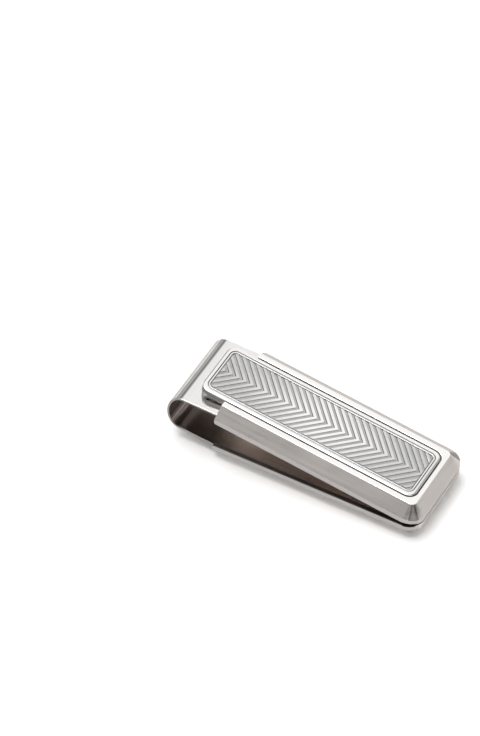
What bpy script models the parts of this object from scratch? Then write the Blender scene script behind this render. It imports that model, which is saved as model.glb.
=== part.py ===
"""Slide-lever money clip.

Two identical shallow cases face each other and are joined at one end by a
bent strip of spring steel, so that they form a wedge whose jaw end is shut.
A flat lever slides in the window of each case.  Pulled out past the bend,
the two levers are squeezed together to open the jaws.

Everything on a half is described in that half's own frame: local x = 0 at
the jaw end and negative towards the bend, local z = 0 on the rim plane that
faces the other half and +z towards the outer face.  The lower half is that
frame turned over about X; the upper half is tilted by the wedge angle.

Units are metres, +Z is up, +X points to the jaw end, the origin is on the
surface the clip lies on, under the middle of its box.
"""
import bpy
import bmesh
import math
from mathutils import Vector, Matrix

# ------------------------------------------------------------------ sizes
MM = 0.001
NAME = "money_clip"

X_JAW = 25.73 * MM          # jaw end of both cases
WIDTH = 19.0 * MM           # case width over the rim
CASE_LEN = 41.8 * MM        # jaw end to open end
CASE_H = 3.10 * MM          # rim plane to outer face
LIP_H = 1.10 * MM           # upright band along the rim
RUN = 2.20 * MM             # how far the sloped walls lean in
R_RIM = 3.20 * MM           # plan radius of the jaw corners at the rim
R_FACE = 1.00 * MM          # plan radius of the same corners at the face
WALL = 0.90 * MM            # wall measured across the rim
ROOF_Z = 2.40 * MM          # underside of the outer face
WEDGE = math.radians(7.8)   # angle between the halves at rest
JAW_GAP = 0.30 * MM         # rim to rim at the jaw end

WIN_HW = 6.20 * MM          # window: half width
WIN_X = -3.05 * MM          # window: jaw end
WIN_R = 2.00 * MM           # window: corner radius

LEV_HW = 6.00 * MM          # lever plate: half width
LEV_X0 = -47.20 * MM        # lever plate: outer end, slid in
LEV_X1 = -3.25 * MM         # lever plate: jaw end, slid in
LEV_R = 1.80 * MM           # lever plate: corner radius
LEV_Z0 = 1.55 * MM          # lever underside
LEV_TOP_UP = 3.20 * MM      # upper lever stands a little proud
LEV_TOP_LO = 3.05 * MM      # lower lever sits just under flush
WING_HW = 7.00 * MM         # guide wings under the window's edges
WING_Z1 = 2.25 * MM
WING_X0 = -41.90 * MM
WING_X1 = -2.75 * MM
TRAVEL = 20.6 * MM          # how far each lever slides out

INL_HW = 5.10 * MM          # inlay: half width
INL_X0 = -46.30 * MM
INL_X1 = -4.05 * MM
INL_R = 1.20 * MM
INL_Z0 = 2.72 * MM          # inlay underside
INL_GAP = 0.05 * MM
PITCH = 1.46 * MM           # herringbone: distance between ribs
CHEV = math.radians(47.0)   # herringbone: rib angle to the lever's length
RIB_H = 0.16 * MM
BORDER = 0.35 * MM          # plain border round the ribs

REC_HW = 5.30 * MM          # hollow in the lever's underside
REC_X0 = -46.50 * MM
REC_X1 = -4.10 * MM
REC_Z1 = 2.10 * MM

BAND_T = 0.45 * MM          # spring band thickness
BAND_HW = 8.45 * MM         # spring band half width
LEG_Z0 = 0.95 * MM          # band's inner face inside a case
LEG_X1 = -1.05 * MM
LEG_R = 2.15 * MM
LEG_END = -48.90 * MM       # where a leg runs into the bend
PINCH = math.radians(6.0)   # the legs lean in after they leave the cases
BEND_H1 = 3.30 * MM         # handle lengths of the bend's curve
BEND_H2 = 3.95 * MM
SEAM = 0.10 * MM            # gap between a leg and the bend

STUD_R = 0.60 * MM          # stop stud on the band, inside the lever
STUD_X = REC_X1 - TRAVEL - STUD_R - 0.02 * MM
LEAF_T = 0.12 * MM          # drag leaf
LEAF_W = 3.00 * MM
LEAF_X = (-39.0 * MM, -28.0 * MM)


# ------------------------------------------------------------- scene setup
for ob in list(bpy.data.objects):
    bpy.data.objects.remove(ob, do_unlink=True)

parts = bpy.data.collections.new(NAME)
cutters = bpy.data.collections.new(NAME + "_cutters")
bpy.context.scene.collection.children.link(parts)
bpy.context.scene.collection.children.link(cutters)


def material(name, colour, rough, metal):
    m = bpy.data.materials.new(name)
    m.use_nodes = True
    b = m.node_tree.nodes["Principled BSDF"]
    b.inputs["Base Color"].default_value = (*colour, 1.0)
    b.inputs["Roughness"].default_value = rough
    b.inputs["Metallic"].default_value = metal
    return m


def half_frame(name, z, tilt, flip):
    """Empty that carries one half: local z = 0 is its rim plane."""
    e = bpy.data.objects.new(name, None)
    parts.objects.link(e)
    e.location = (X_JAW, 0.0, z)
    e.rotation_euler = (math.pi if flip else 0.0, tilt, 0.0)
    return e


upper = half_frame("upper_half_frame", CASE_H + JAW_GAP, WEDGE, False)
lower = half_frame("lower_half_frame", CASE_H, 0.0, True)


def lever_slide(name, parent):
    """Empty on a lever's slide axis; the lever and its inlay hang from it."""
    e = bpy.data.objects.new(name, None)
    parts.objects.link(e)
    e.parent = parent
    return e


upper_slide = lever_slide("upper_slide_axis", upper)
lower_slide = lever_slide("lower_slide_axis", lower)


# ----------------------------------------------------------------- shapes
def outline(x0, x1, hw, r1, r0=0.0, n=8):
    """Plan outline, anticlockwise: jaw end at x1 with corner radius r1,
    other end at x0 with corner radius r0."""
    pts = []
    for cx, cy, r, a0 in ((x1 - r1, -hw + r1, r1, -90), (x1 - r1, hw - r1, r1, 0),
                          (x0 + r0, hw - r0, r0, 90), (x0 + r0, -hw + r0, r0, 180)):
        if r <= 0.0:
            pts.append((cx, cy))
            continue
        for i in range(n + 1):
            a = math.radians(a0 + 90.0 * i / n)
            pts.append((cx + r * math.cos(a), cy + r * math.sin(a)))
    return pts


def new_object(name, bm, parent=None, mat=None, coll=None):
    bmesh.ops.recalc_face_normals(bm, faces=bm.faces)
    me = bpy.data.meshes.new(name)
    bm.to_mesh(me)
    bm.free()
    ob = bpy.data.objects.new(name, me)
    (coll or parts).objects.link(ob)
    if parent is not None:
        ob.parent = parent
    if mat is not None:
        me.materials.append(mat)
    return ob


def loft(rings):
    """Closed solid through plan outlines [(z, points)], low z first."""
    bm = bmesh.new()
    rows = [[bm.verts.new((x, y, z)) for x, y in pts] for z, pts in rings]
    n = len(rows[0])
    bm.faces.new(list(reversed(rows[0])))
    bm.faces.new(rows[-1])
    for a, b in zip(rows, rows[1:]):
        for i in range(n):
            j = (i + 1) % n
            bm.faces.new((a[i], a[j], b[j], b[i]))
    return bm


def prism(pts, z0, z1):
    return loft([(z0, pts), (z1, pts)])


def side_prism(profile, hw):
    """Side profile [(x, z)] extruded across the width."""
    bm = bmesh.new()
    a = [bm.verts.new((x, -hw, z)) for x, z in profile]
    b = [bm.verts.new((x, hw, z)) for x, z in profile]
    n = len(a)
    bm.faces.new(a)
    bm.faces.new(list(reversed(b)))
    for i in range(n):
        j = (i + 1) % n
        bm.faces.new((a[j], a[i], b[i], b[j]))
    return bm


def cutter(name, bm, parent=None):
    ob = new_object(name, bm, parent, None, cutters)
    ob.display_type = 'WIRE'
    ob.hide_render = True
    return ob


def boolean(ob, other, op):
    m = ob.modifiers.new(op.lower() + "_" + other.name, 'BOOLEAN')
    m.operation = op
    m.object = other
    m.solver = 'EXACT'


# ------------------------------------------------------------------ cases
def case_outer():
    end = -CASE_LEN
    rings = []
    for z, inset, back in ((0.0, 0.12, 0.55), (0.12, 0.0, 0.28), (0.30, 0.0, 0.10),
                           (0.55, 0.0, 0.0), (LIP_H / MM, 0.0, 0.0)):
        rings.append((z * MM, outline(end + back * MM, -inset * MM,
                                      WIDTH / 2 - inset * MM, R_RIM - inset * MM)))
    rings.append((CASE_H, outline(end, -RUN, WIDTH / 2 - RUN, R_FACE)))
    return loft(rings)


def case_cavity():
    far = -CASE_LEN - 4 * MM
    low = outline(far, -WALL, WIDTH / 2 - WALL, R_RIM - WALL)
    k = 1.30 * MM
    high = outline(far, -WALL - k, WIDTH / 2 - WALL - k, 1.0 * MM)
    return loft([(-1 * MM, low), (1.42 * MM, low), (ROOF_Z, high)])


def window():
    return prism(outline(-CASE_LEN - 4 * MM, WIN_X, WIN_HW, WIN_R), ROOF_Z - 0.5 * MM, CASE_H + 1 * MM)


def make_case(name, parent, mat):
    ob = new_object(name, case_outer(), parent, mat)
    boolean(ob, cutter(name + "_cavity", case_cavity(), parent), 'DIFFERENCE')
    boolean(ob, cutter(name + "_window", window(), parent), 'DIFFERENCE')
    return ob


# ----------------------------------------------------------------- levers
def make_lever(name, parent, mat, top):
    ob = new_object(name, prism(outline(LEV_X0, LEV_X1, LEV_HW, LEV_R, LEV_R), LEV_Z0, top), parent, mat)
    wings = cutter(name + "_wings", prism(outline(WING_X0, WING_X1, WING_HW, 0.8 * MM, 0.5 * MM), LEV_Z0, WING_Z1), parent)
    boolean(ob, wings, 'UNION')
    hollow = cutter(name + "_hollow", prism(outline(REC_X0, REC_X1, REC_HW, 1.1 * MM, 1.1 * MM), LEV_Z0 - 1 * MM, REC_Z1), parent)
    boolean(ob, hollow, 'DIFFERENCE')
    seat = cutter(name + "_seat", prism(outline(INL_X0 - INL_GAP, INL_X1 + INL_GAP, INL_HW + INL_GAP, INL_R + INL_GAP, INL_R + INL_GAP),
                                        INL_Z0 - INL_GAP, top + 1 * MM), parent)
    boolean(ob, seat, 'DIFFERENCE')
    return ob


def make_plain_inlay(name, parent, mat, top):
    return new_object(name, prism(outline(INL_X0, INL_X1, INL_HW, INL_R, INL_R), INL_Z0, top), parent, mat)


def make_herringbone_inlay(name, parent, mat, top):
    """Plate with a raised border; inside it V ribs whose points face the jaw."""
    base = top - RIB_H
    ob = new_object(name, prism(outline(INL_X0, INL_X1, INL_HW, INL_R, INL_R), INL_Z0, top), parent, mat)
    hw = INL_HW - BORDER
    field = outline(INL_X0 + BORDER, INL_X1 - BORDER, hw, INL_R - BORDER, INL_R - BORDER, 4)
    # grooves: one sheared saw-tooth block, trimmed to the field
    reach = hw + 1 * MM
    back = reach / math.tan(CHEV)
    x_start = -47.30 * MM
    count = int(math.ceil((INL_X1 - INL_X0 + 2 * MM + back) / PITCH))
    bm = bmesh.new()
    rows = []
    for y in (-reach, 0.0, reach):
        line = []
        shift = abs(y) / math.tan(CHEV)
        for i in range(count + 1):
            x = x_start + i * PITCH - shift
            if i:
                line.append((x - 0.30 * PITCH, base))
            line.append((x, base))
            if i < count:
                line.append((x + 0.12 * PITCH, top + 0.02 * MM))
                line.append((x + 0.56 * PITCH, top + 0.02 * MM))
        x0 = line[0][0]
        x1 = line[-1][0]
        line = [(x0, top + 1 * MM)] + line + [(x1, top + 1 * MM)]
        rows.append([bm.verts.new((x, y, z)) for x, z in line])
    n = len(rows[0])
    bm.faces.new(rows[0])
    bm.faces.new(list(reversed(rows[-1])))
    for a, b in zip(rows, rows[1:]):
        for i in range(n):
            j = (i + 1) % n
            bm.faces.new((a[j], a[i], b[i], b[j]))
    grooves = cutter(name + "_grooves", bm, parent)
    trim = cutter(name + "_field", prism(field, base - 0.3 * MM, top + 0.6 * MM), parent)
    boolean(grooves, trim, 'INTERSECT')
    boolean(ob, grooves, 'DIFFERENCE')
    return ob


# ------------------------------------------------------------ spring band
def make_leg(name, parent, mat):
    """Leg of the band: flat in its case, then leaning in towards the bend."""
    knee = -CASE_LEN
    zc = LEG_Z0 + BAND_T / 2
    drop = (knee - LEG_END) * math.tan(PINCH)
    end_x = LEG_END + SEAM
    end_z = zc - drop
    t = BAND_T / 2
    nx, nz = -math.sin(PINCH) * t, math.cos(PINCH) * t
    prof = [(LEG_X1, zc + t), (knee, zc + t), (end_x + nx, end_z + nz),
            (end_x - nx, end_z - nz), (knee, zc - t), (LEG_X1, zc - t)]
    ob = new_object(name, side_prism(prof, BAND_HW), parent, mat)
    plan = cutter(name + "_plan", prism(outline(LEG_END - 2 * MM, LEG_X1, BAND_HW + 0.0 * MM, LEG_R), -4 * MM, 4 * MM), parent)
    boolean(ob, plan, 'INTERSECT')
    return ob


def leg_end(upper_side):
    """Centre of the band and its outgoing direction where a leg ends."""
    zc = LEG_Z0 + BAND_T / 2 - (-CASE_LEN - LEG_END) * math.tan(PINCH)
    p = Vector((LEG_END, zc))
    d = Vector((-math.cos(PINCH), -math.sin(PINCH)))
    if upper_side:
        c, s = math.cos(WEDGE), math.sin(WEDGE)
        rot = lambda v: Vector((c * v.x + s * v.y, -s * v.x + c * v.y))
        return rot(p) + Vector((X_JAW, CASE_H + JAW_GAP)), rot(d)
    return Vector((p.x + X_JAW, CASE_H - p.y)), Vector((d.x, -d.y))


def make_bend(name, mat):
    (p0, d0), (p3, d3) = leg_end(True), leg_end(False)
    p1, p2 = p0 + d0 * BEND_H1, p3 + d3 * BEND_H2
    n = 28
    out, inn = [], []
    for i in range(n + 1):
        t = i / n
        p = p0 * (1 - t) ** 3 + p1 * 3 * t * (1 - t) ** 2 + p2 * 3 * t * t * (1 - t) + p3 * t ** 3
        v = (p1 - p0) * 3 * (1 - t) ** 2 + (p2 - p1) * 6 * t * (1 - t) + (p3 - p2) * 3 * t * t
        v.normalize()
        nrm = Vector((v.y, -v.x))
        out.append(p - nrm * BAND_T / 2)
        inn.append(p + nrm * BAND_T / 2)
    prof = [(v.x, v.y) for v in out] + [(v.x, v.y) for v in reversed(inn)]
    return new_object(name, side_prism(prof, BAND_HW), None, mat)


# ---------------------------------------------------- stops and drag leaves
def make_stud(name, parent, mat):
    bm = bmesh.new()
    z0, z1 = LEG_Z0 + BAND_T + 0.04 * MM, REC_Z1 - 0.12 * MM
    bmesh.ops.create_cone(bm, cap_ends=True, segments=20, radius1=STUD_R, radius2=STUD_R, depth=z1 - z0,
                          matrix=Matrix.Translation((STUD_X, 0, (z0 + z1) / 2)))
    return new_object(name, bm, parent, mat)


def make_leaf(name, parent, mat):
    """Thin bowed strip that presses on the lever from below."""
    x0, x1 = LEAF_X
    lo = LEG_Z0 + BAND_T + 0.04 * MM
    hi = REC_Z1 - 0.04 * MM - LEAF_T
    n = 16
    under = []
    for i in range(n + 1):
        u = i / n
        under.append((x0 + (x1 - x0) * u, lo + (hi - lo) * math.sin(math.pi * u) ** 2))
    prof = under + [(x, z + LEAF_T) for x, z in reversed(under)]
    return new_object(name, side_prism(prof, LEAF_W / 2), parent, mat)


# ---------------------------------------------------------------- assembly
steel_brushed = material("brushed_case", (0.62, 0.60, 0.58), 0.32, 1.0)
steel_polished = material("polished_steel", (0.80, 0.79, 0.77), 0.10, 1.0)
steel_satin = material("satin_inlay", (0.72, 0.72, 0.73), 0.30, 1.0)
spring_steel = material("spring_steel", (0.66, 0.65, 0.64), 0.14, 1.0)

make_case("upper_case", upper, steel_brushed)
make_case("lower_case", lower, steel_brushed.copy())

make_leg("spring_upper_leg", upper, spring_steel)
make_leg("spring_lower_leg", lower, spring_steel.copy())
make_bend("spring_bend", spring_steel.copy())

make_lever("upper_lever", upper_slide, steel_polished, LEV_TOP_UP)
make_herringbone_inlay("upper_inlay", upper_slide, steel_satin, LEV_TOP_UP - 0.03 * MM)
make_lever("lower_lever", lower_slide, steel_polished.copy(), LEV_TOP_LO)
make_plain_inlay("lower_inlay", lower_slide, steel_polished.copy(), LEV_TOP_LO)

make_stud("upper_stop_stud", upper, steel_polished.copy())
make_stud("lower_stop_stud", lower, steel_polished.copy())
make_leaf("upper_drag_leaf", upper, spring_steel.copy())
make_leaf("lower_drag_leaf", lower, spring_steel.copy())

for ob in parts.objects:
    if ob.type == 'MESH':
        ob.data.shade_smooth()
        ob.data.set_sharp_from_angle(angle=math.radians(30))
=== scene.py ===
import math
import bpy
import bmesh
from mathutils import Vector, Matrix

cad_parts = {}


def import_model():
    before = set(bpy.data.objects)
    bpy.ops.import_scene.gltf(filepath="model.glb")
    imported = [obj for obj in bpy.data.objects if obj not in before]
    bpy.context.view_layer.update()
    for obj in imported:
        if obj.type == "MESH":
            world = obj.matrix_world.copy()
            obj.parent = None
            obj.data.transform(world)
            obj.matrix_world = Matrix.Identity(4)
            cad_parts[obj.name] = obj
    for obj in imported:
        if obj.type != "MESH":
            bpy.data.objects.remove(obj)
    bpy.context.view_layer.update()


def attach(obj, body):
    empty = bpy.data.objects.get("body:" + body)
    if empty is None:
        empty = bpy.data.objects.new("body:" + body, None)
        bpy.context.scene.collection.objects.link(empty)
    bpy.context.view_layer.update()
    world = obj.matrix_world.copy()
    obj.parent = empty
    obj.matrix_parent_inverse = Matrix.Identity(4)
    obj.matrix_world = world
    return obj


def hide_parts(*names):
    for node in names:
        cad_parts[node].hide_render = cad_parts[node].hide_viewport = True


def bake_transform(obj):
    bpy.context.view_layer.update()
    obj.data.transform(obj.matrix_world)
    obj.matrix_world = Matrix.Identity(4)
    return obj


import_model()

# All shapes are made in millimetres in the frame of one half of the clip:
# x = 0 at the jaw end, negative towards the bend; z = 0 on the rim plane.
X_JAW, CASE_H, JAW_GAP = 25.73, 3.10, 0.30
WEDGE = math.radians(7.8)
TO_M = Matrix.Scale(0.001, 4)
UPPER = TO_M @ Matrix.Translation((X_JAW, 0, CASE_H + JAW_GAP)) @ Matrix.Rotation(WEDGE, 4, 'Y')
LOWER = TO_M @ Matrix.Translation((X_JAW, 0, CASE_H)) @ Matrix.Rotation(math.pi, 4, 'X')

WIDTH, CASE_LEN, LIP_H, RUN, R_RIM, R_FACE, ROOF_Z = 19.0, 41.8, 1.10, 2.20, 3.20, 1.00, 2.40
WIN_HW, WIN_X, WIN_R = 6.23, -3.03, 2.00
LEV_HW, LEV_X0, LEV_X1, LEV_R, LEV_Z0 = 6.00, -47.20, -3.25, 1.80, 1.55
WING_HW, WING_Z1, WING_X0, WING_X1 = 7.00, 2.25, -41.90, -2.75
INL_HW, INL_X0, INL_X1, INL_R, INL_Z0, INL_GAP = 5.10, -46.30, -4.05, 1.20, 2.72, 0.05
PITCH, CHEV, RIB_H, BORDER = 1.46, math.radians(47.0), 0.16, 0.35
REC_HW, REC_X0, REC_X1, REC_Z1 = 5.30, -46.50, -4.10, 2.10
TOP = {"upper": 3.20, "lower": 3.05}
BAND_T, BAND_HW, LEG_Z0, LEG_X1, LEG_R, LEG_END = 0.45, 8.45, 0.95, -1.05, 2.15, -48.90
PINCH = math.radians(6.0)
BEND_H1, BEND_H2 = 3.30, 3.95
BAND_MID = 54.0                    # middle of the bend, measured along the band


# ------------------------------------------------------------------ camera
def camera():
    f, dist = 4755.0, 874.9
    az, el, roll = math.radians(28.322), math.radians(47.252), math.radians(0.993)
    target = Vector((-22.112, 12.11, 0.0))
    back = Vector((math.sin(az) * math.cos(el), -math.cos(az) * math.cos(el), math.sin(el)))
    right = Vector((math.cos(az), math.sin(az), 0.0))
    up = back.cross(right)
    r2 = right * math.cos(roll) + up * math.sin(roll)
    u2 = up * math.cos(roll) - right * math.sin(roll)
    m = Matrix((r2, u2, back)).transposed().to_4x4()
    m.translation = (target + back * dist) * 0.001
    data = bpy.data.cameras.new("camera")
    data.sensor_width = 36.0
    data.lens = f * 36.0 / 736.0
    data.clip_start, data.clip_end = 0.05, 20.0
    cam = bpy.data.objects.new("camera", data)
    bpy.context.scene.collection.objects.link(cam)
    cam.matrix_world = m
    bpy.context.scene.camera = cam


camera()


# --------------------------------------------------------------- materials
class Nodes:
    def __init__(self, name):
        self.mat = bpy.data.materials.new(name)
        self.mat.use_nodes = True
        self.t = self.mat.node_tree
        self.bsdf = self.t.nodes["Principled BSDF"]

    def new(self, kind, **props):
        n = self.t.nodes.new(kind)
        for k, v in props.items():
            setattr(n, k, v)
        return n

    def link(self, a, b):
        self.t.links.new(a, b)

    def attr(self, name):
        return self.new("ShaderNodeAttribute", attribute_name=name, attribute_type='GEOMETRY').outputs["Vector"]

    def noise(self, vec, scale, detail=3.0, rough=0.55, rot=0.0, offset=(0, 0, 0)):
        mp = self.new("ShaderNodeMapping")
        mp.inputs["Scale"].default_value = scale
        mp.inputs["Location"].default_value = offset
        if rot:
            pre = self.new("ShaderNodeMapping")
            pre.inputs["Rotation"].default_value = (0, 0, rot)
            self.link(vec, pre.inputs["Vector"])
            vec = pre.outputs["Vector"]
        self.link(vec, mp.inputs["Vector"])
        n = self.new("ShaderNodeTexNoise")
        n.inputs["Scale"].default_value = 1.0
        n.inputs["Detail"].default_value = detail
        n.inputs["Roughness"].default_value = rough
        self.link(mp.outputs["Vector"], n.inputs["Vector"])
        return n.outputs["Fac"]

    def rng(self, fac, lo, hi, a=0.3, b=0.7, smooth=False):
        m = self.new("ShaderNodeMapRange")
        if smooth:
            m.interpolation_type = 'SMOOTHSTEP'
        m.inputs["From Min"].default_value = a
        m.inputs["From Max"].default_value = b
        m.inputs["To Min"].default_value = lo
        m.inputs["To Max"].default_value = hi
        self.link(fac, m.inputs["Value"])
        return m.outputs["Result"]

    def math(self, op, a, b):
        m = self.new("ShaderNodeMath", operation=op)
        for i, v in enumerate((a, b)):
            if isinstance(v, (int, float)):
                m.inputs[i].default_value = v
            else:
                self.link(v, m.inputs[i])
        return m.outputs[0]

    def mix(self, fac, c0, c1):
        m = self.new("ShaderNodeMix", data_type='RGBA')
        self.link(fac, m.inputs[0])
        for s, c in ((m.inputs[6], c0), (m.inputs[7], c1)):
            if isinstance(c, tuple):
                s.default_value = (*c, 1.0)
            else:
                self.link(c, s)
        return m.outputs[2]

    def bump(self, height, strength, dist):
        b = self.new("ShaderNodeBump")
        b.inputs["Strength"].default_value = strength
        b.inputs["Distance"].default_value = dist
        self.link(height, b.inputs["Height"])
        self.link(b.outputs["Normal"], self.bsdf.inputs["Normal"])


def steel(name, attr, dark, light, rough, grain, strength, dist, scratch=0.0, smudge=0.05, edge=1.0, painted_light_patch=None, band=None):
    """Steel with a drawn grain. grain = noise frequency per mm along and across.
    edge tints the reflection at grazing angles. painted_light_patch = (x, half length, half width, gain): painted
    light, a patch whose colour is mixed in by place, lighter or darker than the steel, standing in for a highlight or
    shade.
    band = (middle, half length, colour): painted shade, the grain's length coordinate within which the steel is
    darker, set by place round the bend."""
    m = Nodes(name)
    m.bsdf.inputs["Metallic"].default_value = 1.0
    m.bsdf.inputs["Specular Tint"].default_value = (edge, edge * 0.985, edge * 0.97, 1.0)
    v = m.attr(attr)
    gx, gy = grain
    fine = m.noise(v, (gx, gy, gy), 4.0, 0.6)
    broad = m.noise(v, (gx * 0.5, gy * 0.22, gy * 0.22), 3.0, 0.5, offset=(7.1, 3.3, 1.9))
    both = m.math('ADD', m.math('MULTIPLY', fine, 0.6), m.math('MULTIPLY', broad, 0.4))
    col = m.mix(m.rng(both, 0.0, 1.0), dark, light)
    cloud = m.noise(v, (0.09, 0.12, 0.12), 3.0, 0.6, offset=(2.0, 5.0, 8.0))
    r = m.math('ADD', m.rng(both, rough[0], rough[1]), m.rng(cloud, -smudge, smudge))
    # painted light: the patch colour stands in for a highlight or shade that falls there; its roughness is lowered a
    # little too
    if painted_light_patch:
        sep = m.new("ShaderNodeSeparateXYZ")
        m.link(v, sep.inputs[0])
        dx = m.math('ABSOLUTE', m.math('SUBTRACT', sep.outputs[0], painted_light_patch[0]), 0.0)
        dy = m.math('ABSOLUTE', sep.outputs[1], 0.0)
        d = m.math('ADD', m.math('MULTIPLY', dx, 1.0 / painted_light_patch[1]), m.math('MULTIPLY', dy, 0.35 / painted_light_patch[2]))
        d = m.math('ADD', d, m.rng(cloud, -0.12, 0.12))
        painted_light_mask = m.rng(d, 1.0, 0.0, 0.15, 1.05, True)
        col = m.mix(painted_light_mask, col, painted_light_patch[3])
        r = m.math('SUBTRACT', r, m.math('MULTIPLY', painted_light_mask, 0.07))
    # painted shade: a darker colour mixed in round the middle of the bend, along the band's length
    if band:
        sep = m.new("ShaderNodeSeparateXYZ")
        m.link(v, sep.inputs[0])
        d = m.math('ABSOLUTE', m.math('SUBTRACT', sep.outputs[0], band[0]), 0.0)
        d = m.math('ADD', d, m.rng(cloud, -0.8, 0.8))
        col = m.mix(m.rng(d, 1.0, 0.0, band[1] - 0.8, band[1] + 1.4, True), col, band[2])
    if scratch:
        s1 = m.noise(v, (0.35, 9.0, 9.0), 2.0, 0.5, rot=0.35, offset=(1.0, 4.0, 2.0))
        s2 = m.noise(v, (0.30, 8.0, 8.0), 2.0, 0.5, rot=-0.6, offset=(5.0, 1.0, 7.0))
        line = m.math('ADD', m.rng(s1, 0.0, 1.0, 0.66, 0.74), m.rng(s2, 0.0, 1.0, 0.68, 0.76))
        r = m.math('ADD', r, m.math('MULTIPLY', line, scratch))
    m.link(r, m.bsdf.inputs["Roughness"])
    m.link(col, m.bsdf.inputs["Base Color"])
    m.bump(both, strength, dist)
    return m.mat


M_WALL = steel("case_brushed", "grain", (0.555, 0.527, 0.508), (0.690, 0.662, 0.641), (0.25, 0.38), (0.10, 7.0), 0.45, 2.0e-5, edge=0.60)
# painted reflection: a dark copy of the case steel for the conical corners, standing in for a dark reflection there
M_CORNER = steel("case_corner", "grain", (0.200, 0.189, 0.180), (0.345, 0.330, 0.316), (0.15, 0.26), (0.35, 5.0), 0.35, 1.6e-5, edge=0.6)
M_FACE = steel("case_face", "grain", (0.87, 0.865, 0.855), (0.94, 0.935, 0.925), (0.09, 0.16), (0.08, 9.0), 0.10, 6.0e-6, 0.10, 0.02)
# painted shade: the lip is a darker copy of the case steel, offsetting the bright floor it reflects
M_LIP = steel("case_lip", "grain", (0.36, 0.348, 0.339), (0.46, 0.447, 0.438), (0.20, 0.32), (0.12, 8.0), 0.25, 1.2e-5, 0.05, edge=0.7)
# painted light: a lighter copy of the lip steel for the lip along the jaw end, where the floor shadow darkens its
# reflection
M_LIP_END = steel("case_lip_end", "grain", (0.44, 0.425, 0.412), (0.55, 0.533, 0.520), (0.22, 0.34), (0.12, 8.0), 0.30, 1.4e-5, 0.05, edge=0.66)
M_INNER = steel("case_inside", "grain", (0.44, 0.40, 0.375), (0.58, 0.53, 0.50), (0.30, 0.44), (0.25, 3.0), 0.25, 2.0e-5)
# painted shade: near-black steel on the window's wall and on the rim's mating face, the shade in the gaps between
# parts
M_WINDOW = steel("window_edge", "grain", (0.09, 0.086, 0.082), (0.17, 0.163, 0.157), (0.34, 0.46), (0.25, 3.0), 0.25, 2.0e-5)
# painted shade: the polished lever rim turns grey round x = -3.3, at the jaw end, set by place
M_LEVER = steel("lever_polish", "loc", (0.83, 0.825, 0.82), (0.90, 0.895, 0.89), (0.07, 0.13), (0.10, 10.0), 0.08, 6.0e-6, 0.10, 0.02, painted_light_patch=(-3.3, 0.9, 6.6, (0.66, 0.657, 0.653)))
# painted shade: the lever's side walls are a darker copy of its steel, standing in for the shade against the band
M_LEVER_SIDE = steel("lever_side", "loc", (0.24, 0.228, 0.220), (0.38, 0.364, 0.354), (0.20, 0.32), (0.15, 8.0), 0.15, 1.0e-5, edge=0.7)
M_LEVER_IN = steel("lever_hollow", "loc", (0.44, 0.43, 0.42), (0.56, 0.55, 0.54), (0.24, 0.36), (0.20, 5.0), 0.25, 2.0e-5)
# painted highlight: ribs and grooves are lighter round the middle of the inlay, a broad sheen from the overhead light,
# fading towards both ends
M_RIB = steel("inlay_satin", "loc", (0.51, 0.513, 0.516), (0.61, 0.613, 0.616), (0.20, 0.30), (0.25, 12.0), 0.12, 8.0e-6, 0.0, 0.03, painted_light_patch=(-25.0, 21.0, 4.4, (0.885, 0.885, 0.88)))
M_GROOVE = steel("inlay_groove", "loc", (0.31, 0.314, 0.32), (0.42, 0.425, 0.432), (0.34, 0.48), (2.0, 6.0), 0.30, 1.5e-5, painted_light_patch=(-25.0, 21.0, 5.0, (0.41, 0.412, 0.416)))
M_RIM_IN = steel("inlay_rim", "loc", (0.74, 0.742, 0.744), (0.84, 0.842, 0.844), (0.14, 0.22), (0.12, 10.0), 0.10, 6.0e-6, 0.05, 0.02)
# painted shade: near-black steel on the seams round the inlay, the walls of its seat and moat, and the shadowed side
# of each rib
M_PAINTED_SHADE = steel("inlay_painted_shade", "loc", (0.14, 0.138, 0.136), (0.24, 0.236, 0.232), (0.32, 0.44), (1.0, 4.0), 0.20, 1.0e-5)
# painted shade: the bend's outer face is dulled round its middle so its highlight reads weaker
M_BAND = steel("band_polish", "loc", (0.765, 0.762, 0.758), (0.835, 0.832, 0.828), (0.05, 0.11), (8.0, 0.06), 0.06, 5.0e-6, 0.08, 0.02, edge=0.56, band=(BAND_MID, 4.6, (0.60, 0.592, 0.585)))
# painted shade: the band's narrow edges are a darker copy of the band steel
M_EDGE = steel("band_edge", "loc", (0.22, 0.213, 0.206), (0.34, 0.33, 0.322), (0.22, 0.36), (0.5, 6.0), 0.25, 1.2e-5)
# painted shade: the band's inside is darkened round the bend, where shade falls inside the U
M_BAND_IN = steel("band_inside", "loc", (0.52, 0.47, 0.44), (0.64, 0.58, 0.545), (0.12, 0.24), (0.08, 6.0), 0.15, 1.0e-5, band=(BAND_MID, 11.4, (0.29, 0.262, 0.246)))
M_STUD = steel("stud_turned", "loc", (0.70, 0.69, 0.68), (0.80, 0.79, 0.78), (0.14, 0.24), (4.0, 4.0), 0.15, 8.0e-6)
M_LEAF = steel("leaf_spring", "loc", (0.52, 0.50, 0.47), (0.62, 0.60, 0.57), (0.22, 0.32), (0.20, 9.0), 0.20, 1.0e-5)


# ----------------------------------------------------------------- meshing
def outline(x0, x1, hw, r1, r0=0.0, n=20):
    pts = []
    for cx, cy, r, a0 in ((x1 - r1, -hw + r1, r1, -90), (x1 - r1, hw - r1, r1, 0),
                          (x0 + r0, hw - r0, r0, 90), (x0 + r0, -hw + r0, r0, 180)):
        if r <= 0.0:
            pts.append((cx, cy))
            continue
        for i in range(n + 1):
            a = math.radians(a0 + 90.0 * i / n)
            pts.append((cx + r * math.cos(a), cy + r * math.sin(a)))
    return pts


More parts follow.
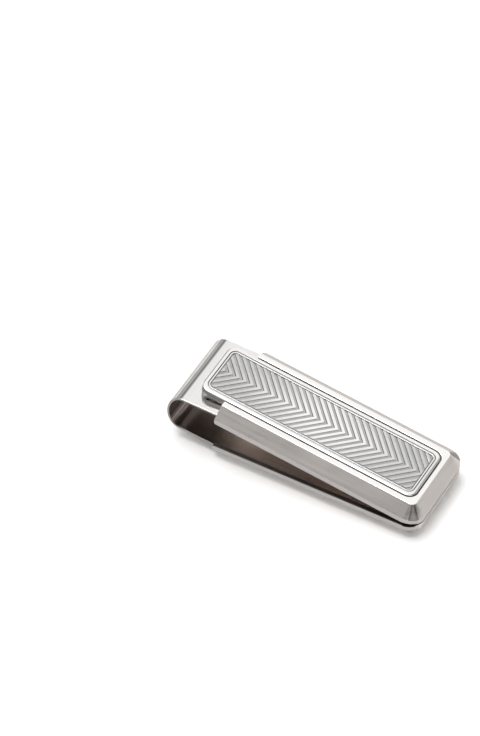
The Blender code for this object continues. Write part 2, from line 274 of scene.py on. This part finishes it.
def loft(rings, mats=None):
    """Closed solid through plan outlines [(z, points)]. mats: one index per band, then bottom cap, top cap."""
    bm = bmesh.new()
    rows = [[bm.verts.new((x, y, z)) for x, y in pts] for z, pts in rings]
    n = len(rows[0])
    fb = bm.faces.new(list(reversed(rows[0])))
    ft = bm.faces.new(rows[-1])
    if mats:
        fb.material_index, ft.material_index = mats[-2], mats[-1]
    for k, (a, b) in enumerate(zip(rows, rows[1:])):
        for i in range(n):
            j = (i + 1) % n
            f = bm.faces.new((a[i], a[j], b[j], b[i]))
            if mats:
                f.material_index = mats[k]
    return bm


def arc_rows(i0, z0, i1, z1, n, first):
    """Quarter turn in (inset, z). first 'z' leaves (i0, z0) along z, 'i' leaves along the inset."""
    out = []
    for k in range(n + 1):
        a = math.pi / 2 * k / n
        if first == 'z':
            out.append((i0 + (i1 - i0) * (1 - math.cos(a)), z0 + (z1 - z0) * math.sin(a)))
        else:
            out.append((i0 + (i1 - i0) * math.sin(a), z0 + (z1 - z0) * (1 - math.cos(a))))
    return out


def object_of(bm, name, mats):
    bmesh.ops.recalc_face_normals(bm, faces=bm.faces)
    me = bpy.data.meshes.new(name)
    bm.to_mesh(me)
    bm.free()
    for m in mats:
        me.materials.append(m)
    ob = bpy.data.objects.new(name, me)
    bpy.context.scene.collection.objects.link(ob)
    return ob


def boolean(ob, cutter, op):
    """Applies one exact boolean at once and removes the cutter."""
    m = ob.modifiers.new("b", 'BOOLEAN')
    m.operation, m.object, m.solver = op, cutter, 'EXACT'
    dg = bpy.context.evaluated_depsgraph_get()
    me = bpy.data.meshes.new_from_object(ob.evaluated_get(dg))
    ob.modifiers.clear()
    old, ob.data = ob.data, me
    bpy.data.meshes.remove(old)
    bpy.data.objects.remove(cutter)


def finish_piece(ob, matrix, body, nodes, angle=28.0, grain=None):
    """Stores the half's own coordinates for the materials, then puts the mesh in place."""
    me = ob.data
    at = me.attributes.new("loc", 'FLOAT_VECTOR', 'POINT')
    at.data.foreach_set("vector", [c for v in me.vertices for c in v.co])
    me.transform(matrix)
    me.shade_smooth()
    me.set_sharp_from_angle(angle=math.radians(angle))
    wn = ob.modifiers.new("normals", 'WEIGHTED_NORMAL')
    wn.keep_sharp = True
    wn.weight = 80
    if body:
        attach(ob, body)
    if nodes:
        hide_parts(*nodes)
    return ob


# ------------------------------------------------------------------- cases
def back_off(z):
    """The case's open end is rounded where it meets the rim."""
    r = 0.55
    return r - math.sqrt(max(0.0, r * r - (r - z) ** 2)) if z < r else 0.0


def case_profile():
    """Closed section, rim outer edge first: (hw, xj, r, z, material)."""
    W = WIDTH / 2
    V = [  # hw, xj, r, z, tangent length of the rounded edge, steps, material of the strip that follows
        (W, 0.0, R_RIM, 0.0, 0.13, 6, 2),
        (W, 0.0, R_RIM, LIP_H, 0.05, 3, 0),
        (W - RUN, -RUN, R_FACE, CASE_H, 0.035, 3, 1),
        (WIN_HW, WIN_X, WIN_R, CASE_H, 0.10, 4, 5),
        (WIN_HW, WIN_X, WIN_R, ROOF_Z, 0.05, 2, 3),
        (7.30, -2.20, 1.00, ROOF_Z, 0.05, 2, 3),
        (8.60, -0.90, 2.30, 1.42, 0.12, 3, 3),
        (8.60, -0.90, 2.30, 0.0, 0.08, 3, 5),
    ]
    n = len(V)
    rows = []
    for k in range(n):
        a, v, b = V[k - 1], V[k], V[(k + 1) % n]
        t = v[4]
        da = math.hypot(a[0] - v[0], a[3] - v[3])
        db = math.hypot(b[0] - v[0], b[3] - v[3])
        A = [v[i] + (a[i] - v[i]) * t / da for i in range(4)]
        B = [v[i] + (b[i] - v[i]) * t / db for i in range(4)]
        steps = v[5]
        for s in range(steps + 1):
            u = s / steps
            p = [A[i] * (1 - u) ** 2 + 2 * v[i] * u * (1 - u) + B[i] * u * u for i in range(4)]
            m = a[6] if s < steps / 2 and s < steps else v[6]
            rows.append(p + [v[6] if s == steps else (V[k - 1][6] if s < (steps - 2 if k == 0 else steps // 2) else v[6])])
        # extra rows on the two upright walls near the rim, where the end is rounded
        if k == 0:
            for z in (0.19, 0.27, 0.36, 0.46, 0.56):
                rows.append([W, 0.0, R_RIM, z, 2])
        if k == 6:
            for z in (0.56, 0.46, 0.36, 0.27, 0.19):
                rows.append([8.60, -0.90, 2.30, z, 3])
    return rows


def rim_shift(i, count, n):
    """The rim is eased back round the corners and stands proud along the jaw end."""
    a = (i - 6) / n if i < 6 + n else ((count - 7 - i) / n if i > count - 7 - n else 1.0)
    if a <= 0.0:
        return 0.0
    up, down = min(a / 0.14, 1.0), min(max((a - 0.40) / 0.32, 0.0), 1.0)
    up, down = up * up * (3 - 2 * up), down * down * (3 - 2 * down)
    return 0.15 * up - 0.25 * down


def make_case(name, matrix, body, node):
    rows = case_profile()
    E, n = -CASE_LEN, 22
    bevel = 0.05
    N = len(rows)
    # inward normals of the section, for the small bevel round the open end
    sect = [(p[0], p[3]) for p in rows]
    offs = []
    for k in range(N):
        (ax, ay), (bx, by) = sect[k - 1], sect[(k + 1) % N]
        dx, dy = bx - ax, by - ay
        L = math.hypot(dx, dy)
        offs.append((-dy / L, dx / L))
    area = sum(sect[k][0] * sect[(k + 1) % N][1] - sect[(k + 1) % N][0] * sect[k][1] for k in range(N))
    sgn = 1.0 if area > 0 else -1.0
    vacc = [0.0]
    for k in range(1, N):
        vacc.append(vacc[-1] + math.hypot(sect[k][0] - sect[k - 1][0], sect[k][1] - sect[k - 1][1]))
    bm = bmesh.new()
    grain = bm.verts.layers.float_vector.new("grain")
    grid = []
    for k, (hw, xj, r, z, mat) in enumerate(rows):
        xe = E + back_off(z)
        ox, oz = offs[k][0] * sgn * bevel, offs[k][1] * sgn * bevel
        arc1 = [(xj - r + r * math.sin(a), -hw + r - r * math.cos(a)) for a in [math.pi / 2 * i / n for i in range(n + 1)]]
        arc2 = [(xj - r + r * math.cos(a), hw - r + r * math.sin(a)) for a in [math.pi / 2 * i / n for i in range(n + 1)]]
        xs = [xe + bevel + (xj - r - xe - bevel) * q for q in (0.0, 0.2, 0.4, 0.6, 0.8)]
        mid = [(xj, (-hw + r) + (2 * hw - 2 * r) * q) for q in (0.25, 0.5, 0.75)]
        near = [(xe, -(hw + ox), z + oz)] + [(x, -hw, z) for x in xs]
        far = [(x, hw, z) for x in reversed(xs)] + [(xe, hw + ox, z + oz)]
        pts = near + [(x, y, z) for x, y in arc1] + [(x, y, z) for x, y in mid] + [(x, y, z) for x, y in arc2] + far
        line = []
        outer = [0.0]
        for i in range(1, len(pts)):
            outer.append(outer[-1] + math.dist(pts[i][:2], pts[i - 1][:2]))
        for i, p in enumerate(pts):
            v = bm.verts.new((p[0], p[1], p[2] + rim_shift(i, len(pts), n) * max(0.0, 1.0 - z / 0.46)))
            v[grain] = (outer[i], vacc[k], 0.0)
            line.append(v)
        grid.append(line)
    C = len(grid[0])
    for k in range(N):
        a, b = grid[k], grid[(k + 1) % N]
        for i in range(C - 1):
            f = bm.faces.new((a[i], a[i + 1], b[i + 1], b[i]))
            f.material_index = int(rows[k][4])
            # painted reflection: the conical corner strips of the wall take the dark corner steel
            if rows[k][4] == 0 and (11 <= i < 20 or 10 + n + 8 <= i < 10 + n + 17):
                f.material_index = 4
            # painted light: along the jaw end the lip takes the lighter wall or end-lip steel
            if rows[k][4] in (2, 5) and 0.02 < rows[k][3] < LIP_H + 0.1 and rows[k][0] > 9.0 and rim_shift(i, C, n) < 0.0:
                f.material_index = 0 if rim_shift(i, C, n) < -0.095 else 6
    f1 = bm.faces.new([grid[k][0] for k in range(N)])
    f2 = bm.faces.new([grid[k][-1] for k in reversed(range(N))])
    for f in (f1, f2):
        f.material_index = 2
    bmesh.ops.triangulate(bm, faces=[f1, f2], ngon_method='BEAUTY')
    ob = object_of(bm, name, [M_WALL, M_FACE, M_LIP, M_INNER, M_CORNER, M_WINDOW, M_LIP_END])
    return finish_piece(ob, matrix, body, [node], 30.0)


make_case("case_upper_steel", UPPER, "upper_half", "upper_case")
make_case("case_lower_steel", LOWER, "lower_half", "lower_case")


# ------------------------------------------------------------------ levers
def plan_loft(x0, x1, hw, r1, r0, rows, mats=None):
    return loft([(z, outline(x0 + i, x1 - i, hw - i, max(r1 - i, 0.02), max(r0 - i, 0.02))) for i, z in rows], mats)


def make_lever(which, matrix, body):
    top = TOP[which]
    rows = arc_rows(0.08, LEV_Z0, 0.0, LEV_Z0 + 0.08, 3, 'i')
    rows += arc_rows(0.0, top - 0.24, 0.42, top, 8, 'z')
    # painted shade: the lever's side walls below the rounded top take the dark side steel
    side = [2 if rows[k][1] < top - 0.20 else 0 for k in range(len(rows) - 1)] + [0, 0]
    ob = object_of(plan_loft(LEV_X0, LEV_X1, LEV_HW, LEV_R, LEV_R, rows, side), "lever_" + which + "_steel", [M_LEVER, M_LEVER_IN, M_LEVER_SIDE, M_PAINTED_SHADE])
    wrows = arc_rows(0.06, LEV_Z0, 0.0, LEV_Z0 + 0.06, 2, 'i') + arc_rows(0.0, WING_Z1 - 0.10, 0.10, WING_Z1, 3, 'z')
    boolean(ob, object_of(plan_loft(WING_X0, WING_X1, WING_HW, 0.8, 0.5, wrows), "w", [M_LEVER_IN]), 'UNION')
    hrows = [(-0.12, LEV_Z0 - 0.5), (-0.12, LEV_Z0)] + [(i, z) for i, z in arc_rows(-0.12, LEV_Z0, 0.0, LEV_Z0 + 0.12, 3, 'i')][1:]
    hrows += arc_rows(0.0, REC_Z1 - 0.20, 0.20, REC_Z1, 4, 'z')
    boolean(ob, object_of(plan_loft(REC_X0, REC_X1, REC_HW, 1.1, 1.1, hrows, [1] * (len(hrows) + 1)), "h", [M_LEVER, M_LEVER_IN]), 'DIFFERENCE')
    g = INL_GAP
    srows = [(0.0, INL_Z0 - g), (0.0, top - 0.06)] + [(-i, z) for i, z in arc_rows(0.0, top - 0.06, 0.10, top, 5, 'z')][1:] + [(-0.10, top + 0.5)]
    boolean(ob, object_of(plan_loft(INL_X0 - g, INL_X1 + g, INL_HW + g, INL_R + g, INL_R + g, srows, [3, 3, 3, 3, 3] + [0] * (len(srows) - 4)), "s", [M_LEVER, M_LEVER_IN, M_LEVER_SIDE, M_PAINTED_SHADE]), 'DIFFERENCE')
    return finish_piece(ob, matrix, body, [which + "_lever"], 30.0)


make_lever("upper", UPPER, "upper_lever")
make_lever("lower", LOWER, "lower_lever")


# ------------------------------------------------------------------ inlays
def inlay_blank(which, top, edge=0.05):
    rows = arc_rows(0.06, INL_Z0, 0.02, INL_Z0 + 0.04, 2, 'i') + arc_rows(0.02, top - edge, 0.02 + 1.6 * edge, top, 4, 'z')
    mats = [2] * (len(rows) - 4) + [2, 2, 0, 2, 0]
    return object_of(plan_loft(INL_X0, INL_X1, INL_HW, INL_R, INL_R, rows, mats), "inlay_" + which + "_plate", [M_RIM_IN if which == "upper" else M_LEVER, M_GROOVE, M_PAINTED_SHADE, M_RIB])


RIB = [(0.00, 0.00), (0.03, 0.08), (0.07, 0.50), (0.11, 0.92), (0.15, 1.00), (0.36, 1.00), (0.57, 1.00),
       (0.61, 0.92), (0.63, 0.50), (0.65, 0.06), (0.67, 0.00)]


def make_herringbone(which, matrix, body, top):
    ob = inlay_blank(which, top)
    base = top - RIB_H
    hw = INL_HW - BORDER
    reach = hw + 1.0
    back = reach / math.tan(CHEV)
    x_start = -46.30 - 1.0 - 0.06 * PITCH
    count = int(math.ceil((INL_X1 - INL_X0 + 2.0 + back) / PITCH))
    bm = bmesh.new()
    rows = []
    for y in (-reach, 0.0, reach):
        shift = abs(y) / math.tan(CHEV)
        line = []
        for i in range(count):
            x = x_start + i * PITCH - shift
            for u, h in RIB:
                line.append((x + u * PITCH, base + h * (RIB_H - 0.012)))
        line = [(line[0][0], top + 1.0)] + line + [(line[-1][0], top + 1.0)]
        rows.append([bm.verts.new((x, y, z)) for x, z in line])
    n = len(rows[0])
    bm.faces.new(rows[0])
    bm.faces.new(list(reversed(rows[-1])))
    for a, b in zip(rows, rows[1:]):
        for i in range(n):
            j = (i + 1) % n
            f = bm.faces.new((a[j], a[i], b[i], b[j]))
            k = (i - 1) % len(RIB)
            # painted shade: the rising side of each rib takes the near-black seam steel as its shadowed side
            f.material_index = 2 if k <= 2 else (1 if k >= len(RIB) - 2 else 3)
    grooves = object_of(bm, "g", [M_RIM_IN, M_GROOVE, M_PAINTED_SHADE, M_RIB])
    frows = [(0.0, base - 0.3), (0.0, top - 0.05)] + [(-i, z) for i, z in arc_rows(0.0, top - 0.05, 0.05, top, 3, 'z')][1:] + [(-0.05, top + 0.6)]
    r = INL_R - BORDER
    field = object_of(plan_loft(INL_X0 + BORDER, INL_X1 - BORDER, hw, r, r, frows), "f", [M_RIM_IN, M_GROOVE, M_PAINTED_SHADE, M_RIB])
    boolean(grooves, field, 'INTERSECT')
    boolean(ob, grooves, 'DIFFERENCE')
    # moat that parts the ribs from the border
    moat = object_of(plan_loft(INL_X0 + BORDER, INL_X1 - BORDER, hw, r, r, [(0.0, base - 0.02), (0.0, top + 0.3)], [2, 2, 2]), "m", [M_RIM_IN, M_GROOVE, M_PAINTED_SHADE, M_RIB])
    w = 0.17
    core = object_of(plan_loft(INL_X0 + BORDER + w, INL_X1 - BORDER - w, hw - w, r - w, r - w, [(0.0, base - 0.5), (0.0, top + 0.8)], [2, 2, 2]), "c", [M_RIM_IN, M_GROOVE, M_PAINTED_SHADE, M_RIB])
    boolean(moat, core, 'DIFFERENCE')
    boolean(ob, moat, 'DIFFERENCE')
    return finish_piece(ob, matrix, body, [which + "_inlay"], 32.0)


make_herringbone("upper", UPPER, "upper_lever", TOP["upper"] - 0.03)
finish_piece(inlay_blank("lower", TOP["lower"]), LOWER, "lower_lever", ["lower_inlay"], 30.0)


# -------------------------------------------------------------- spring band
def to_world2(p, upper_side):
    if upper_side:
        c, s = math.cos(WEDGE), math.sin(WEDGE)
        return Vector((c * p[0] + s * p[1] + X_JAW, -s * p[0] + c * p[1] + CASE_H + JAW_GAP))
    return Vector((p[0] + X_JAW, CASE_H - p[1]))


def band_path():
    """Centre line in the side view from the upper leg's jaw end round to the lower leg's, with its half width."""
    zc = LEG_Z0 + BAND_T / 2
    knee = -CASE_LEN

    def leg(upper_side):
        pts = []
        for i in range(13):  # rounded jaw end
            a = math.pi / 2 * i / 12
            s = LEG_R * (1 - math.cos(a))
            pts.append((LEG_X1 - s, zc, BAND_HW - LEG_R + LEG_R * math.sin(a)))
        pts[0] = (LEG_X1, zc, BAND_HW - LEG_R + 0.01)
        for x in (-8, -14, -20, -26, -32, -38, -41.0):
            pts.append((x, zc, BAND_HW))
        for i in range(1, 6):  # soft knee
            t = i / 6
            x = -41.0 + t * -1.6
            d = 0.8 * t * t
            pts.append((x, zc - d * math.tan(PINCH), BAND_HW))
        for x in (-42.8, -44.5, -46.5, -47.2, -47.7, -48.1, -48.5, LEG_END):
            roll = max(0.0, (-47.0 - x) / 1.9) ** 2 * (0.05 if upper_side else 0.0)
            pts.append((x, zc - (knee - x) * math.tan(PINCH) - roll, BAND_HW))
        return [(to_world2(p, upper_side), p[2]) for p in pts]

    up, lo = leg(True), leg(False)
    p0, p3 = up[-1][0], lo[-1][0]
    d = Vector((-math.cos(PINCH), -math.sin(PINCH)))
    c, s = math.cos(WEDGE), math.sin(WEDGE)
    d0 = Vector((c * d.x + s * d.y, -s * d.x + c * d.y))
    d3 = Vector((d.x, -d.y))
    p1, p2 = p0 + d0 * BEND_H1, p3 + d3 * BEND_H2
    bend = []
    n = 56
    for i in range(1, n):
        t = i / n
        bend.append((p0 * (1 - t) ** 3 + p1 * 3 * t * (1 - t) ** 2 + p2 * 3 * t * t * (1 - t) + p3 * t ** 3, BAND_HW))
    return up + bend + list(reversed(lo))


def make_band():
    path = band_path()
    # drop repeated points
    pts = [path[0]]
    for p in path[1:]:
        if (p[0] - pts[-1][0]).length > 1e-4:
            pts.append(p)
    N = len(pts)
    t = BAND_T / 2
    r, m = 0.11, 4
    bm = bmesh.new()
    loc = bm.verts.layers.float_vector.new("loc0")
    rows = []
    s_acc = 0.0
    for k, (p, hw) in enumerate(pts):
        a = pts[max(k - 1, 0)][0]
        b = pts[min(k + 1, N - 1)][0]
        d = (b - a).normalized()
        nrm = Vector((-d.y, d.x))  # towards the inside of the bend
        if k:
            s_acc += (p - pts[k - 1][0]).length
        sect = []
        for cy, cn, a0 in ((-hw + r, -t + r, 180), (hw - r, -t + r, 270), (hw - r, t - r, 0), (-hw + r, t - r, 90)):
            for i in range(m + 1):
                ang = math.radians(a0 + 90 * i / m)
                sect.append((cy + r * math.cos(ang), cn + r * math.sin(ang)))
        line = []
        for y, q in sect:
            w = p + nrm * q
            v = bm.verts.new((w.x, y, w.y))
            v[loc] = (s_acc, y, q)
            line.append(v)
        rows.append(line)
    n = len(rows[0])
    M1 = m + 1
    # painted shade: the faces on the band's narrow edges take the dark edge steel
    EDGES = set(range(1, 0)) | set(range(M1 + 2, 2 * M1 + 2)) | set(range(3 * M1 + 2, 4 * M1)) | set(range(0, 2))
    INNER = set(range(2 * M1 + 2, 3 * M1 + 2))
    for k in range(N - 1):
        a, b = rows[k], rows[k + 1]
        for i in range(n):
            j = (i + 1) % n
            f = bm.faces.new((a[i], a[j], b[j], b[i]))
            # between the third and fourth corner: the inner side
            # section order: near edge and outer side, far edge, inner side
            f.material_index = 1 if i in INNER else (2 if i in EDGES else 0)
    bm.faces.new(rows[0])
    bm.faces.new(list(reversed(rows[-1])))
    ob = object_of(bm, "spring_band", [M_BAND, M_BAND_IN, M_EDGE])
    ob = finish_piece(ob, TO_M, None, ["spring_upper_leg", "spring_lower_leg", "spring_bend"], 35.0)
    src = ob.data.attributes["loc0"]
    vals = [0.0] * (3 * len(ob.data.vertices))
    src.data.foreach_get("vector", vals)
    ob.data.attributes["loc"].data.foreach_set("vector", vals)
    ob.data.attributes.remove(ob.data.attributes["loc0"])
    return ob


band = make_band()
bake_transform(band)

# ------------------------------------------------------- stop studs, drag leaves
STUD_R = 0.60
STUD_X = REC_X1 - 20.6 - STUD_R - 0.02
LEAF_X = (-39.0, -28.0)


def make_stud(which, matrix, body):
    z0, z1 = LEG_Z0 + BAND_T + 0.04, REC_Z1 - 0.12
    prof = [(0.50, z0), (0.58, z0 + 0.03), (STUD_R, z0 + 0.08), (STUD_R, z1 - 0.12), (0.585, z1 - 0.06), (0.53, z1 - 0.02),
            (0.44, z1 - 0.004), (0.20, z1), (0.14, z1 - 0.03), (0.03, z1 - 0.045)]
    n = 40
    rings = [(z, [(STUD_X + r * math.cos(2 * math.pi * i / n), r * math.sin(2 * math.pi * i / n)) for i in range(n)]) for r, z in prof]
    ob = object_of(loft(rings), "stop_stud_" + which, [M_STUD])
    finish_piece(ob, matrix, body, [which + "_stop_stud"], 40.0)


def make_leaf(which, matrix, body):
    x0, x1 = LEAF_X
    lo, hi, t, hw = LEG_Z0 + BAND_T + 0.04, REC_Z1 - 0.04 - 0.12, 0.12, 1.5
    bm = bmesh.new()
    rows = []
    n = 60
    for i in range(n + 1):
        u = 0.5 - 0.5 * math.cos(math.pi * i / n)
        x = x0 + (x1 - x0) * u
        z = lo + (hi - lo) * math.sin(math.pi * u) ** 2
        e = min(x - x0, x1 - x)
        w = hw if e >= 1.2 else hw - 1.2 + math.sqrt(max(0.0, 1.44 - (1.2 - e) ** 2))
        b = 0.03
        sect = [(-w + b, 0.0), (w - b, 0.0), (w, b), (w, t - b), (w - b, t), (-w + b, t), (-w, t - b), (-w, b)]
        rows.append([bm.verts.new((x, y, z + q)) for y, q in sect])
    for a, c in zip(rows, rows[1:]):
        for k in range(8):
            m = (k + 1) % 8
            bm.faces.new((a[k], a[m], c[m], c[k]))
    bm.faces.new(rows[0])
    bm.faces.new(list(reversed(rows[-1])))
    ob = object_of(bm, "drag_leaf_" + which, [M_LEAF])
    finish_piece(ob, matrix, body, [which + "_drag_leaf"], 40.0)


for which, matrix, body in (("upper", UPPER, "upper_half"), ("lower", LOWER, "lower_half")):
    make_stud(which, matrix, body)
    make_leaf(which, matrix, body)


# ------------------------------------------------------------ floor, lights
def floor():
    me = bpy.data.meshes.new("floor")
    s = 3.0
    me.from_pydata([(-s, -s, 0), (s, -s, 0), (s, s, 0), (-s, s, 0)], [], [(0, 1, 2, 3)])
    ob = bpy.data.objects.new("floor", me)
    bpy.context.scene.collection.objects.link(ob)
    m = Nodes("floor_paper")
    m.bsdf.inputs["Base Color"].default_value = (0.93, 0.93, 0.93, 1)
    m.bsdf.inputs["Roughness"].default_value = 0.8
    m.bsdf.inputs["Specular IOR Level"].default_value = 0.0
    m.bsdf.inputs["Emission Color"].default_value = (1, 1, 1, 1)
    m.bsdf.inputs["Emission Strength"].default_value = 0.03
    me.materials.append(m.mat)


def world():
    w = bpy.data.worlds.new("studio")
    bpy.context.scene.world = w
    w.use_nodes = True
    t = w.node_tree
    bg = t.nodes["Background"]
    tc = t.nodes.new("ShaderNodeTexCoord")

    def lobe(d, inner, outer, amp):
        dot = t.nodes.new("ShaderNodeVectorMath")
        dot.operation = 'DOT_PRODUCT'
        nrm = t.nodes.new("ShaderNodeVectorMath")
        nrm.operation = 'NORMALIZE'
        t.links.new(tc.outputs["Generated"], nrm.inputs[0])
        t.links.new(nrm.outputs["Vector"], dot.inputs[0])
        dot.inputs[1].default_value = Vector(d).normalized()
        mr = t.nodes.new("ShaderNodeMapRange")
        mr.interpolation_type = 'SMOOTHSTEP'
        mr.inputs["From Min"].default_value = math.cos(math.radians(outer))
        mr.inputs["From Max"].default_value = math.cos(math.radians(inner))
        mr.inputs["To Min"].default_value = 0.0
        mr.inputs["To Max"].default_value = amp
        t.links.new(dot.outputs["Value"], mr.inputs["Value"])
        return mr.outputs["Result"]

    total = None
    for L in LOBES:
        s = lobe(*L)
        if total is None:
            a = t.nodes.new("ShaderNodeMath")
            a.operation = 'ADD'
            a.inputs[0].default_value = BASE
            t.links.new(s, a.inputs[1])
        else:
            a = t.nodes.new("ShaderNodeMath")
            a.operation = 'ADD'
            t.links.new(total, a.inputs[0])
            t.links.new(s, a.inputs[1])
        total = a.outputs[0]
    mx = t.nodes.new("ShaderNodeMath")
    mx.operation = 'MAXIMUM'
    mx.inputs[1].default_value = 0.01
    t.links.new(total, mx.inputs[0])
    t.links.new(mx.outputs[0], bg.inputs["Strength"])
    bg.inputs["Color"].default_value = (1.0, 0.985, 0.97, 1)


BASE = 0.95
LOBES = [
    ((-0.23, -0.04, 0.97), 14, 26, 5.2),        # overhead softbox, lights the floor
    ((-0.11, 0.60, 0.79), 16, 34, 0.10),     # back softbox, seen in the flat faces
    ((-0.32, -0.67, 0.66), 22, 46, -0.36),   # dimmer room on the camera's side
    ((0.28, -0.59, 0.745), 14, 25, -0.50),   # two dark flags, front right
    ((0.77, 0.08, 0.61), 14, 26, -0.75),
    ((0.70, 0.60, 0.39), 16, 34, -0.20),     # grey card, right
    ((-0.985, -0.02, 0.17), 18, 34, -0.60),  # dark flag, left
    ((-0.56, 0.60, 0.575), 1, 15, -0.72),    # narrow dark flag, back left
    ((-0.79, 0.60, 0.15), 10, 22, -0.42),
    ((0.38, 0.60, 0.70), 4, 17, -0.45),
]
floor()
world()
bpy.context.scene.view_settings.view_transform = 'Standard'
